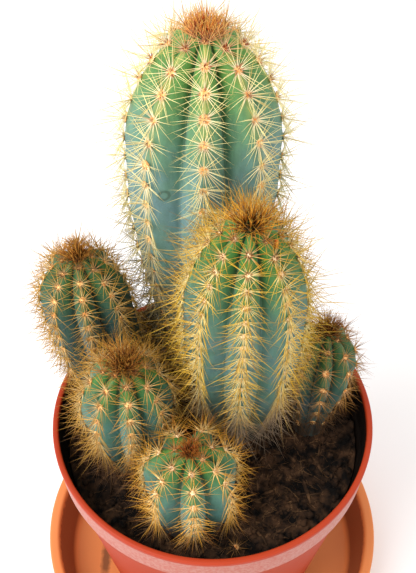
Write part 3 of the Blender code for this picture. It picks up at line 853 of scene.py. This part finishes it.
# %% Areoles as points
def areole_points(stem):
    """The areoles as points with everything that the spine tree reads."""
    places, outs, ups, arcs = (np.array(part) for part in zip(*areoles[stem.name]))
    droop_at, aged_and_shaded_below = (LAYERS[stem.name][key] * MM for key in ("droop_at", "aged_and_shaded_below"))
    aged = smooth_step((arcs - droop_at * 0.4) / droop_at)
    newest = 1.0 - smooth_step((arcs - 5 * MM) / (0.3 * stem.dome))
    height = places[:, 2] - SOIL_LEVEL
    return chain(stem.name + "_areoles", places, out=outs, up=ups,
                 spin=rng.uniform(0, 1, len(arcs)), size=1.0 - 0.3 * newest,
                 spread=1.0 - 0.2 * newest, droop=0.5 * aged - 0.2 * newest,
                 young=0.65 * newest, fresh=1.0 - smooth_step(arcs / (60 * MM)),
                 old=1 - smooth_step(height / aged_and_shaded_below * 1.4 - 0.4))


def tuft_points(stem):
    """Young areoles packed on the apex in a sunflower spiral."""
    size, flare = LAYERS[stem.name]["tuft_size"] * MM, LAYERS[stem.name]["tuft_flare"]
    lean = unit(np.array([*stem.slope, 1.0]))
    found = []
    for k in range(TUFT_AREOLES):
        outer = math.sqrt((k + 0.5) / TUFT_AREOLES)
        s = stem.height_at(size * outer * 1.02)
        side = side_of(k * GOLDEN_TURN)
        out = unit(lean + side * flare * outer)
        up = unit(np.cross(out, np.cross(lean + (0.01, 0, 0), out)))
        found.append((stem.axis(s) + side * stem.crest(s) * 0.9, out, up, outer))
    places, outs, ups, outer = (np.array(part) for part in zip(*found))
    ones = np.ones(TUFT_AREOLES)
    return chain(stem.name + "_tuft", places, out=outs, up=ups,
                 spin=rng.uniform(0, 1, TUFT_AREOLES), size=0.7 + 0.3 * outer, spread=ones,
                 droop=0 * ones, young=1.0 - 0.35 * outer ** 3, fresh=ones, old=0 * ones)


print("each tuft has", TUFT_AREOLES, "areoles")

# %% Growing the spines
def merge_into(name, objects):
    """Join meshes to one object, attributes and all."""
    with bpy.context.temp_override(active_object=objects[0], selected_objects=objects,
                                   selected_editable_objects=objects):
        bpy.ops.object.join()
    objects[0].name = objects[0].data.name = name
    return objects[0]


spines = {}
for number, (name, stem) in enumerate(stems.items()):
    on_ribs, on_apex = areole_points(stem), tuft_points(stem)
    made = []
    for kind, source in (("radial", on_ribs), ("central", on_ribs), ("tuft", on_apex)):
        count, length, shortest, lean_from, lean_to, thickness = LAYERS[name][kind]
        darkest, palest = TONES[kind]
        made.append(grow(
            f"{name}_{kind}", spine_maker, source.copy(), keep=SPINE_ATTRIBUTES,
            obstacles=obstacles, count=count, length=length * MM, shortest=shortest,
            lean_from=lean_from, lean_to=lean_to, stand_up=STAND_UP,
            foot_ring=LAYERS[name]["foot_ring"] * MM, thickness=thickness * MM, bend=BEND,
            darkest=darkest, palest=palest, seed=100 * number + 10 * len(made),
            material=HORN_OF[name]))
    spines[name] = merge_into(name + "_spines", made)

# %% [markdown]
# ## Felt cushions
# Under its spines each areole is a cushion of short wool, tan to orange. Hairs would be too
# fine to see, so a low dome with a rough outline stands for each cushion.

# %% Tree and material: felt cushions
def cushion_tree():
    tree, add, given = new_tree("Felt cushions", width="Float", height="Float",
                                roughness="Float", seed="Int")
    ball = add("GeometryNodeMeshUVSphere", 8, 5, 0.5)
    size = add("random", {"Min": 0.8, "Max": 1.2, "Seed": given.seed})
    size = add("MULTIPLY", size, add("named number", "size"))
    wide = add("MULTIPLY", given.width, size)
    tall = add("MULTIPLY", add("MULTIPLY", given.height, 2.0), size)
    pads = add("instances", {
        "Points": given.source, "Instance": ball,
        "Rotation": add("aimed", {"Vector": add("named vector", "out")}),
        "Scale": add("join", wide, wide, tall)})
    swing = add("MULTIPLY", given.roughness, 2.0)
    return end_tree(tree, add, given, roughened(add, add("realize", pads), 0.7, swing))


def felt(name, light, dark):
    """Areole wool: matt, and blotched like felt."""
    material = new_material("areole wool, " + name, Roughness=0.95)
    add = partial(add_node, material.node_tree)
    blotch = add("ramp", add("noise", add("object place"), scale_of(0.8), 3), 0.35, 0.65)
    set_surface(material, Base_Color=add("mix", blotch, dark, light))
    return material


cushion_maker = cushion_tree()
tan_felt = felt("tan", "#FFD690", "#E08840")
cream_felt = felt("cream", "#FBE4BC", "#E4AC66")

# %% Cushions
CUSHION_WIDTH = {**dict.fromkeys(stems, 2.4 * MM), "stem_tall": 3.3 * MM}
FELT_OF = {**dict.fromkeys(stems, tan_felt), "stem_middle": cream_felt,
           "stem_front": cream_felt}
cushions = {}
for number, (name, stem) in enumerate(stems.items()):
    cushions[name] = grow(
        name + "_cushions", cushion_maker, areole_points(stem), seed=number,
        width=CUSHION_WIDTH[name], height=0.35 * MM, roughness=0.25 * MM,
        material=FELT_OF[name])

# %% [markdown]
# ## Peat
# The peat is dark, damp and crumbly, with pale root fibres and bits of bark. Its top could be
# a displaced disc alone, but from close up loose matter is what makes soil look like soil. So
# a lumpy solid comes first, and crumbs, fibres and splinters are scattered over it.

# %% Peat material
def peat(name, dark, light):
    """Peat and what lies in it: matt and dark, dried paler in blotches 5 mm across."""
    material = new_material(name, Roughness=0.95, IOR=1.4, Specular_IOR_Level=0.25)
    add = partial(add_node, material.node_tree)
    place = add("object place")
    coarse = add("noise", place, scale_of(5), 4)
    dry = add("ramp", add("noise", place, scale_of(14), 2), 0.35, 0.6, 0.5, 1.0)
    blotch = add("MULTIPLY", add("ramp", coarse, 0.4, 0.75, 0.0, 0.8), dry)
    set_surface(material, Base_Color=add("mix", blotch, dark, light),
                Normal=add("bump", {"Strength": 0.8, "Distance": 0.3 * MM, "Height": coarse}))
    return material


damp_peat = peat("damp peat", "#0D0907", "#664730")
root_fibre = peat("root fibre", "#45301E", "#9A7450")
bark = peat("composted bark", "#2C1E14", "#8A6444")
print(damp_peat.name, root_fibre.name, "and", bark.name)

# %% Peat body
POT_FLOOR, POT_INNER_LOW, POT_INNER_TOP = 5.6 * MM, 41.1 * MM, 55.9 * MM
WALL_GAP = 0.3 * MM
PEAT_EDGE = 90.2 * MM
PEAT_RINGS, PEAT_SECTORS = 88, 264


def peat_height(x, y, reach):
    """Height of the peat's surface: lumps, fewer near the stems, and a dip at the wall."""
    away = min(math.hypot(x - s.base[0], y - s.base[1]) - s.base_radius
               for s in stems.values())
    open_ground = float(smooth_step(away / (8 * MM)))
    place = Vector((x, y, 0.0)) / (8 * MM)
    lump = (noise.noise(place) + 0.6 * noise.noise(place * 2.3)) * 2.6 * MM
    crumb = (noise.noise(place * 3.1) * 0.8 + noise.noise(place * 6.7) * 0.5
             + noise.noise(place * 13.0) * 0.25) * MM
    edge = 1.6 * MM * float(smooth_step((reach - 0.6) / 0.4))
    return SOIL_LEVEL + (lump + crumb) * open_ground + crumb * 0.4 - edge


def turned(name, points, steps, material):
    """Turn a profile of (radius, height) points round the pot's axis, as a closed mesh."""
    mesh = bpy.data.meshes.new(name)
    mesh.from_pydata([(r, 0.0, z) for r, z in points],
                     [(i, i + 1) for i in range(len(points) - 1)], [])
    obj = add_object(name, mesh)
    screw = obj.modifiers.new("Turn", "SCREW")
    screw.steps = screw.render_steps = steps
    screw.use_merge_vertices = True
    screw.merge_threshold = 0.01 * MM
    obj.data = applied(obj)
    obj.modifiers.clear()
    obj.data.name = name
    obj.data.shade_smooth()
    obj.data.materials.append(material)
    print(f"{name}: {triangles(obj)} triangles")
    return obj


top_radius = POT_INNER_TOP - WALL_GAP - 0.4 * MM
rings = [(top_radius * k / PEAT_RINGS, SOIL_LEVEL) for k in range(PEAT_RINGS + 1)]
peat_body = turned("peat", rings + [
    (top_radius, PEAT_EDGE - 1 * MM), (POT_INNER_LOW - WALL_GAP, POT_FLOOR + WALL_GAP),
    (0, POT_FLOOR + WALL_GAP)], PEAT_SECTORS, damp_peat)
for vertex in peat_body.data.vertices:
    x, y, z = vertex.co
    if z > SOIL_LEVEL - 0.1 * MM:
        vertex.co.z = peat_height(x, y, math.hypot(x, y) / top_radius)

# %% Tree: scattered bits
def scatter_tree():
    tree, add, given = new_tree("Scatter", shapes="Collection", density="Float",
                                reach="Float", smallest="Float", seed="Int")
    x, y, z = add("split", add("position")).node.outputs
    from_middle = add("SQRT", add("ADD", add("MULTIPLY", x, x), add("MULTIPLY", y, y)))
    steep = add("split", add("normal"), output="Z")
    on_top = add("MULTIPLY", add("GREATER_THAN", steep, 0.2),
                 add("GREATER_THAN", z, SOIL_LEVEL - 8 * MM))
    on_top = add("MULTIPLY", on_top, add("LESS_THAN", from_middle, given.reach))
    points = add("GeometryNodeDistributePointsOnFaces", {
        "Mesh": given.source, "Selection": on_top, "Density": given.density,
        "Seed": given.seed})
    angle = add("random", {"Min": 0.0, "Max": math.tau, "Seed": given.seed})
    size = add("random", {"Min": given.smallest, "Max": 1.0,
                          "Seed": add("ADD", given.seed, 1)})
    bits = add("instances", {
        "Points": points, "Pick Instance": True,
        "Instance": add("GeometryNodeCollectionInfo", given.shapes, True, True),
        "Rotation": rolled(add, points.node.outputs["Rotation"], angle), "Scale": size})
    return end_tree(tree, add, given, bits, smooth=False)


scatter = scatter_tree()

# %% Shapes of crumbs, fibres and splinters
def crumb_mesh(number):
    """A knobbly grain of peat, 3 mm across."""
    bm = bmesh.new()
    bmesh.ops.create_uvsphere(bm, u_segments=7, v_segments=5, radius=1.5 * MM)
    for vertex in bm.verts:
        push = noise.noise(vertex.co / (1.1 * MM) + Vector((7.0 * number, 0, 0)))
        vertex.co *= 1.0 + 0.5 * push
        vertex.co.z *= 0.7
    return mesh_from(bm, f"crumb_{number}")


def fibre_mesh(number):
    """A bent root fibre, 5 to 11 mm long and 0.3 mm thick, lying level on its middle."""
    random_bend = np.random.default_rng(50 + number)
    curve = bpy.data.curves.new(f"fibre_{number}", "CURVE")
    curve.dimensions = "3D"
    curve.bevel_depth = 0.17 * MM
    curve.bevel_resolution = 0
    curve.use_fill_caps = True
    points = 7
    length = random_bend.uniform(5, 11) * MM
    spline = curve.splines.new("POLY")
    spline.points.add(points - 1)
    heading, place = 0.0, np.zeros(3)
    for k, point in enumerate(spline.points):
        point.co = (*place, 1.0)
        point.radius = 1.0 - 0.5 * abs(2 * k / (points - 1) - 1)
        heading += random_bend.uniform(-0.6, 0.6)
        rise = random_bend.uniform(-0.05, 0.12)
        step = np.array([math.cos(heading), math.sin(heading), rise]) * length / points
        place = place + step
    holder = add_object("fibre", curve)
    mesh = applied(holder)
    bpy.data.objects.remove(holder)
    bm = bmesh.new()
    bm.from_mesh(mesh)
    bmesh.ops.remove_doubles(bm, verts=bm.verts, dist=0.001 * MM)
    middle = sum((vertex.co for vertex in bm.verts), Vector()) / len(bm.verts)
    bmesh.ops.translate(bm, verts=bm.verts, vec=-middle)
    bm.to_mesh(mesh)
    bm.free()
    return mesh


def splinter_mesh(number):
    """A splinter of composted bark, 5 to 11 mm long, thin and curled."""
    random_size = np.random.default_rng(80 + number)
    length, width = random_size.uniform(5, 11) * MM, random_size.uniform(0.6, 1.6) * MM
    bm = bmesh.new()
    bmesh.ops.create_cube(bm, size=1.0)
    along = [edge for edge in bm.edges if abs((edge.verts[0].co - edge.verts[1].co).x) > 0.5]
    bmesh.ops.subdivide_edges(bm, edges=along, cuts=3)
    for vertex in bm.verts:
        x = vertex.co.x * 2
        taper = 1.0 - 0.75 * abs(x) ** 1.5
        ragged = noise.noise(Vector((x * 2.5, 3.0 * vertex.co.y, 9.0 * number)))
        vertex.co = Vector((vertex.co.x * length,
                            (vertex.co.y * taper + 0.25 * ragged) * width,
                            vertex.co.z * 0.5 * MM + (0.3 - x * x) * 0.08 * length))
    bmesh.ops.recalc_face_normals(bm, faces=bm.faces)
    return mesh_from(bm, f"splinter_{number}")


def strewn(name, maker, kinds, density, reach_mm, smallest, seed, material):
    """Bits over the peat: each is one of several shapes, which leave the file again."""
    shapes = bpy.data.collections.new(name + "_shapes")
    for number in range(kinds):
        mesh = maker(number)
        shapes.objects.link(bpy.data.objects.new(mesh.name, mesh))
    bits = grow(name, scatter, peat_body.data.copy(), shapes=shapes, density=density,
                reach=reach_mm * MM, smallest=smallest, seed=seed, material=material)
    for shape in list(shapes.objects):
        bpy.data.objects.remove(shape)
    bpy.data.collections.remove(shapes)
    return bits


crumbs = strewn("peat_crumbs", crumb_mesh, 6, 1.8e5, 53.8, 0.15, 3, damp_peat)
fibres = strewn("peat_fibres", fibre_mesh, 8, 1.5e5, 48.5, 0.35, 8, root_fibre)
splinters = strewn("peat_splinters", splinter_mesh, 8, 5.5e4, 48.5, 0.35, 14, bark)

# %% [markdown]
# ## Two small finds
# A shed areole lies on the peat in front, with its dry spines round it, and a dried orange
# scrap of flower clings to the middle stem. The trees for spines and cushions make the first
# from one point. The second is a small cupped flake.

# %% Shed areole and dried flower scrap
SHED_PLACE = (8.2 * MM, -47.3 * MM, SOIL_LEVEL + 0.6 * MM)
SCRAP_PLACE = (17.9 * MM, -11.4 * MM, 212.3 * MM)
shed_point = chain("shed_areole", [SHED_PLACE], out=[(0.0, -0.3, 0.95)],
                   up=[(0.0, 0.95, 0.3)], spin=[0.3], size=[1.0], spread=[1.0], droop=[0.0],
                   young=[0.0], fresh=[0.0], old=[0.4])
shed_spines = grow("shed_spines", spine_maker, shed_point.copy(), keep=SPINE_ATTRIBUTES,
                   obstacles=obstacles, count=30, length=6 * MM, shortest=0.4, lean_from=5,
                   lean_to=88, stand_up=0, foot_ring=0.8 * MM, thickness=0.11 * MM, bend=BEND,
                   darkest=0, palest=0.7, seed=900, material=bronze_horn)
shed_wool = grow("shed_wool", cushion_maker, shed_point.copy(), seed=90, width=2.6 * MM,
                 height=0.9 * MM, roughness=0.3 * MM, material=tan_felt)


def flower_scrap(centre, width, height):
    """A dried petal, cupped, standing upright on the skin."""
    bm = bmesh.new()
    bmesh.ops.create_uvsphere(bm, u_segments=8, v_segments=7, radius=0.5)
    for vertex in bm.verts:
        x, y, z = vertex.co
        ragged = noise.noise(vertex.co * 4) * 0.1
        cupped = y * 0.4 * width + (x * x - z * z * 0.6) * width
        vertex.co = Vector(((x + ragged) * width, cupped, z * height)) + Vector(centre)
    scrap = add_object("flower_scrap", mesh_from(bm, "flower_scrap"))
    scrap.data.shade_smooth()
    # A dried petal is papery, so it has no gloss.
    petal = new_material("dried petal", Base_Color="#D86A18", Roughness=0.7)
    scrap.data.materials.append(petal)
    return scrap


scrap = flower_scrap(SCRAP_PLACE, 1.5 * MM, 4.2 * MM)
print("flower scrap:", triangles(scrap), "triangles")

# %% [markdown]
# ## Moulded plastic
# Pot and saucer are injection-moulded polypropylene: turned forms with small radii on every
# edge, a dull satin surface, and a very faint orange-peel texture. A dusty pink is painted on
# the pot's collar: a painted reflection of the pale floor, mottled with dust, and the inner
# walls are painted darker, as painted shade over a stain of peat. A profile turned round the
# axis gives the form. The rounded corners come from a short arc in place of each corner point.

# %% Plastic material
# Heights of the collar band on which a dusty pink is painted: a painted reflection of the pale
# floor, mottled with dust.
SHEEN_BAND_FROM, SHEEN_BAND_TO = 88 * MM, 103.4 * MM


def moulded(name, colour, shade, patchy_tint, soil, wall_stain_and_shade_share, wall_stain_and_shade_from, wall_stain_and_shade_to, smear=None):
    """Injection-moulded polypropylene: satin, faintly uneven, and darker on its inner wall.

    soil is the colour of the inner wall between two heights: painted shade in the hollow, over
    the stain that peat and hard water leave there. The amount after shade is how strongly a
    dusty pink is painted on the outside of the collar band: a painted reflection of the pale
    floor, mottled with dust. smear is a place where wet peat has dried on the plastic.
    """
    material = new_material("moulded polypropylene, " + name, IOR=1.49,
                            Specular_IOR_Level=0.25)
    add = partial(add_node, material.node_tree)
    place = add("object place")
    z = add("split", place, output="Z")
    level = add("vector product", add("object facing"), (1.0, 1.0, 0.0))
    outward = add("dot product", level, place)
    cloud, speck = add("noise", place, scale_of(25), 3), add("noise", place, scale_of(2), 4)
    tint = add("mix", cloud, shade, colour)

    # Painted shade: the inward-facing wall between two heights takes the soil colour, for the
    # shade in the hollow, over a stain of peat.
    edge = add("MULTIPLY_ADD", speck, 3 * MM, z)
    wall_stain_and_shade = wall_stain_and_shade_share
    for share in (add("ramp", outward, -20 * MM, -40 * MM),
                  add("ramp", edge, wall_stain_and_shade_to + 2 * MM, wall_stain_and_shade_to + 0.5 * MM),
                  add("ramp", z, wall_stain_and_shade_from, wall_stain_and_shade_from + 2 * MM)):
        wall_stain_and_shade = add("MULTIPLY", share, wall_stain_and_shade)
    tint = add("mix", wall_stain_and_shade, tint, soil)

    # Painted reflection: a dusty pink on the outward face of the collar band stands for the
    # pale floor reflected there, mottled with dust.
    sheen_and_dust = add("ramp", add("noise", place, scale_of(1.1), 3), 0.35, 0.65, 0.5 * patchy_tint, patchy_tint)
    for share in (add("ramp", z, SHEEN_BAND_FROM, SHEEN_BAND_FROM + 5 * MM),
                  add("ramp", z, SHEEN_BAND_TO + 0.6 * MM, SHEEN_BAND_TO),
                  add("ramp", outward, 10 * MM, 30 * MM)):
        sheen_and_dust = add("MULTIPLY", share, sheen_and_dust)
    tint = add("mix", sheen_and_dust, tint, "#B88A80")
    if smear:
        off = add("vector product", add("vector difference", place, smear), (2.4, 0.55, 1.0))
        off = add("MULTIPLY_ADD", speck, 5 * MM, add("length", off))
        dried = add("ramp", off, 9 * MM, 5 * MM, 0.0, 0.7)
        tint = add("mix", dried, tint, "#3A2418")
    peel = add("noise", place, scale_of(0.9), 2)
    set_surface(material, Base_Color=tint, Roughness=add("ramp", cloud, 0.3, 0.7, 0.45, 0.56),
                Normal=add("bump", {"Strength": 0.15, "Distance": 0.02 * MM, "Height": peel}))
    return material


# The pot's near-black inner wall and the saucer's dark brown inner wall are painted shade over
# a peat stain, and the pink of the pot's collar is a painted reflection.
red_plastic = moulded("brick red", "#AC3816", "#A03010", 0.75, "#140D09", 1.0, 20 * MM,
                      104.5 * MM)
orange_plastic = moulded("terracotta", "#DC864C", "#CE7840", 0.0, "#6E3824", 0.75, 3.0 * MM,
                         18.5 * MM, smear=(-47.5 * MM, -9.6 * MM, 2.5 * MM))
print(red_plastic.name, "and", orange_plastic.name)

# %% Pot and saucer
# Each corner of a profile, in mm: its radius from the axis, its height, and how far it is
# rounded.
POT = [(0, 5.6, 0), (41.1, 5.6, 1), (55.9, 90.5, 2), (57.4, 92.4, 1.5), (57.8, 106, 0.8),
       (60, 106, 0.8), (60, 104, 0.6), (59.4, 103.6, 0.3), (59.0, 92, 0.9), (57.4, 91.6, 0.8),
       (43, 2.8, 0.8), (38, 2.8, 0.4), (38, 4, 0.4), (0, 4, 0)]
SAUCER = [(0, 2.5, 0), (60.5, 2.5, 2), (62.5, 4.5, 2), (67.3, 20, 1.2), (71.3, 20, 1.0),
          (71.3, 17.4, 0.8), (69.3, 17.2, 0.6), (62.5, 0, 1.5), (0, 0, 0)]
PLASTIC_STEPS = 192


def rounded(corners):
    """A profile whose corners are short arcs."""
    points = [Vector((r * MM, z * MM)) for r, z, _ in corners]
    result = [tuple(points[0])]
    for k in range(1, len(points) - 1):
        corner, before, after = points[k], points[k - 1] - points[k], points[k + 1] - points[k]
        reach = min(corners[k][2] * MM, before.length * 0.45, after.length * 0.45)
        start = corner + before.normalized() * reach
        end = corner + after.normalized() * reach
        result += [tuple(start * (1 - t) ** 2 + corner * 2 * t * (1 - t) + end * t ** 2)
                   for t in (0.0, 0.25, 0.5, 0.75, 1.0)]
    return result + [tuple(points[-1])]


pot = turned("pot_fine", rounded(POT), PLASTIC_STEPS, red_plastic)
saucer = turned("saucer_fine", rounded(SAUCER), PLASTIC_STEPS, orange_plastic)

# %% [markdown]
# ## Dressing the model
# Every piece now takes the place of its CAD node and rides on the one body. The CAD nodes
# stay as they are, for collision.

# %% Put the pieces on the model
def dress(node, slot, *pieces):
    """Put finished pieces on the body, in place of their CAD node."""
    for piece in pieces:
        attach(piece, "root")
        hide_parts(node)
    print(f"{node}: {triangles(*pieces)} triangles in {[piece.name for piece in pieces]}")


bpy.data.objects.remove(obstacles)
for name in stems:
    slot = "stem_tall" if name == "stem_tall" else "stem_golden"
    dress(name, slot, bodies[name], spines[name], cushions[name])
dress("soil", "soil", peat_body, crumbs, fibres, splinters, shed_spines, shed_wool)
dress("stem_middle", "stem_golden", scrap)
dress("pot", "pot", pot)
dress("saucer", "saucer", saucer)

# %% [markdown]
# ## Floor, light and camera
# The cactus was photographed from above against white, in soft light from the upper left. A
# large pale floor, a white sky and one big area light give that. The lens and the camera's
# place were fitted to the outlines of the pot's rim and the saucer's lip.

# %% Stage
FLOOR_HALF = 3.0
TARGET = (0.0, 0.0, 0.15)
floor_mesh = bpy.data.meshes.new("floor")
floor_mesh.from_pydata([(x * FLOOR_HALF, y * FLOOR_HALF, 0)
                        for x, y in ((-1, -1), (1, -1), (1, 1), (-1, 1))], [], [(0, 1, 2, 3)])
floor = add_object("floor", floor_mesh)
# Seamless paper is matt, so it shows no edge and no gloss.
paper = new_material("white seamless paper", Base_Color="#F4F3F2", Roughness=0.9)
floor_mesh.materials.append(paper)

world = bpy.data.worlds.new("soft sky")
world.use_nodes = True
background = world.node_tree.nodes["Background"]
background.inputs["Color"].default_value = linear("#FFFFFF")
background.inputs["Strength"].default_value = 1.15
bpy.context.scene.world = world

light = bpy.data.lights.new("key", "AREA")
light.shape = "DISK"
light.size = 0.9
light.energy = 13.0
key = add_object("key", light)
key.location = (-0.7, -0.45, 1.0)
key.rotation_euler = (Vector(TARGET) - key.location).to_track_quat("-Z", "Y").to_euler()
print("floor, sky and", key.name, "light")

# %% Camera
camera_data = bpy.data.cameras.new("camera")
camera_data.lens = 62.8
camera_data.sensor_width = 36.0
camera = add_object("camera", camera_data)
camera.location = (-0.00174, -0.2080, 0.4232)
camera.rotation_euler = (math.radians(40.55), 0.0, 0.0)
bpy.context.scene.camera = camera
bpy.context.scene.view_settings.view_transform = "Standard"
print("lens:", camera_data.lens, "mm")
